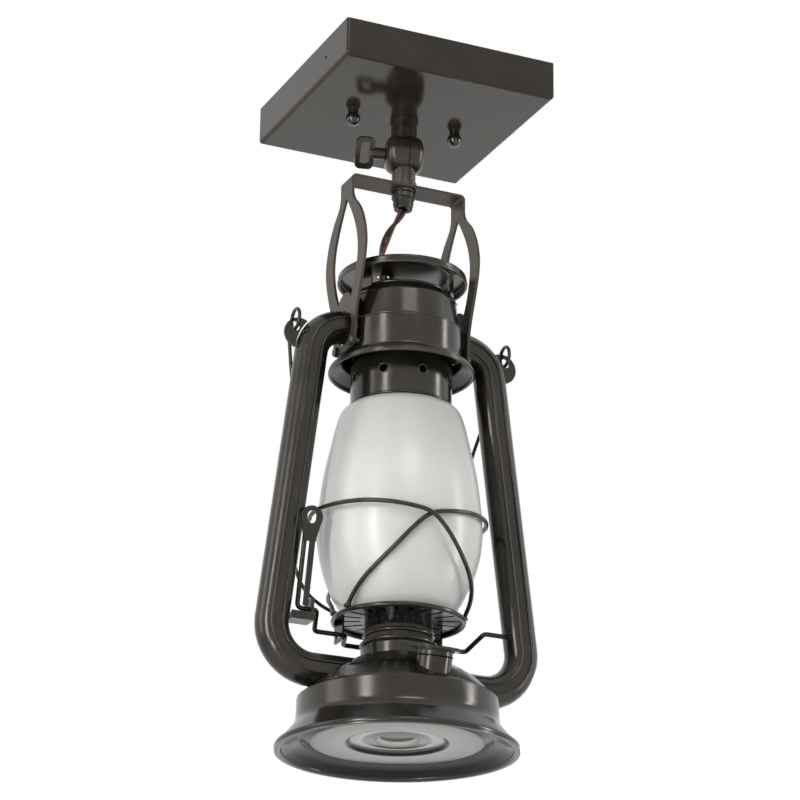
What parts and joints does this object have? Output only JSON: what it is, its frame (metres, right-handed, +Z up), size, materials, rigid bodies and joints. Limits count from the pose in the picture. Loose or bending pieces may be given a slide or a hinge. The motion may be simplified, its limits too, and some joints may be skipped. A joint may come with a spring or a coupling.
{
  "type": "semi flush mount ceiling light",
  "caption": "Semi flush ceiling light shaped as a barn lantern with a frosted globe, hung by a strap and a keyed swivel knuckle from a square canopy.",
  "frame": {"origin": "centre of the canopy and of its box screws, in the plane of the ceiling", "axes": "+Z up out of the ceiling face, X along the hanger bar through both side tubes"},
  "size_m": [0.1646, 0.1296, 0.3907],
  "materials": {
    "canopy_paint": "semi-gloss oil rubbed bronze paint",
    "zinc_steel": "zinc plated",
    "knob_metal": "gloss black",
    "knuckle_metal": "satin bronze paint on a casting",
    "washer_fibre": "fibre",
    "lantern_enamel": "gloss dark bronze enamel",
    "burner_blackened": "rough matt",
    "bronze_wire": "satin bronze",
    "frosted_glass": "frosted inside, gloss outside",
    "bulb_glass": "soft white",
    "bulb_metal": "bare",
    "socket_plastic": "glazed",
    "grip_plastic": "moulded",
    "connector_plastic": "moulded",
    "lead_jacket": "satin jacket",
    "gasket_rubber": "matt"
  },
  "bodies": {
    "canopy": {"canopy_pan": "canopy_paint", "crossbar": "zinc_steel", "ground_screw": "zinc_steel", "canopy_screws": "zinc_steel", "canopy_knobs": "knob_metal", "stem_nipple": "zinc_steel", "stem_washer": "zinc_steel", "stem_locknut": "zinc_steel", "supply_leads": "lead_jacket", "wire_nuts": "connector_plastic", "knuckle_collar": "knuckle_metal", "knuckle_upper": "knuckle_metal", "knuckle_washer": "washer_fibre"},
    "key": {"knuckle_key": "knuckle_metal"},
    "lantern": {"knuckle_lower": "knuckle_metal", "hanger_nipple": "zinc_steel", "hanger_strap": "canopy_paint", "hanger_nut": "knuckle_metal", "cord_grip": "grip_plastic", "twin_lead": "lead_jacket", "strap_bolts": "zinc_steel", "strap_nuts": "zinc_steel", "left_tube": "lantern_enamel", "right_tube": "lantern_enamel", "chamber_cap": "lantern_enamel", "chamber_band": "lantern_enamel", "crown": "lantern_enamel", "crown_tabs": "lantern_enamel", "socket_bracket": "lantern_enamel", "socket_nut": "zinc_steel", "lamp_socket": "socket_plastic", "bulb_cap": "bulb_metal", "bulb_glass": "bulb_glass", "lever_bracket": "lantern_enamel", "left_ear": "lantern_enamel", "right_ear": "lantern_enamel", "tank_top": "lantern_enamel", "tank_shell": "lantern_enamel", "tank_bottom": "lantern_enamel", "burner_base": "lantern_enamel", "burner_cone": "burner_blackened", "filler_neck": "lantern_enamel", "filler_gasket": "gasket_rubber"},
    "bail": {"bail": "bronze_wire"},
    "lever": {"lift_lever": "bronze_wire", "lever_tab": "lantern_enamel"},
    "globe_set": {"globe": "frosted_glass", "globe_collar": "lantern_enamel", "globe_plate": "lantern_enamel", "guard_wire_left": "bronze_wire", "guard_wire_right": "bronze_wire"},
    "filler_cap": {"filler_cap": "lantern_enamel"}
  },
  "joints": [
    {"name": "key_turn", "type": "hinge", "parent": "canopy", "child": "key", "pos_m": [0, 0, -0.0435], "axis": [0.9659, -0.2588, 0], "continuous": true},
    {"name": "knuckle_tilt", "type": "hinge", "parent": "canopy", "child": "lantern", "pos_m": [0, 0, -0.0435], "axis": [0.9659, -0.2588, 0], "range_deg": [-35, 35]},
    {"name": "bail_swing", "type": "hinge", "parent": "lantern", "child": "bail", "pos_m": [0, 0, -0.155], "axis": [1, 0, 0], "range_deg": [0, 120]},
    {"name": "lever_lift", "type": "hinge", "parent": "lantern", "child": "lever", "pos_m": [0, 0, -0.3187], "axis": [1, 0, 0], "range_deg": [0, 38]},
    {"name": "globe_lift", "type": "slide", "parent": "lantern", "child": "globe_set", "axis": [0, 0, 1], "range_m": [0, 0.0086]},
    {"name": "filler_turn", "type": "hinge", "parent": "lantern", "child": "filler_cap", "pos_m": [0.00151, -0.04311, -0.34503], "axis": [0.009, -0.2587, 0.9659], "continuous": true}
  ],
  "couplings": [
    {"joint": "lever_lift", "follows": "globe_lift", "rad_per_m": 76.923}
  ]
}
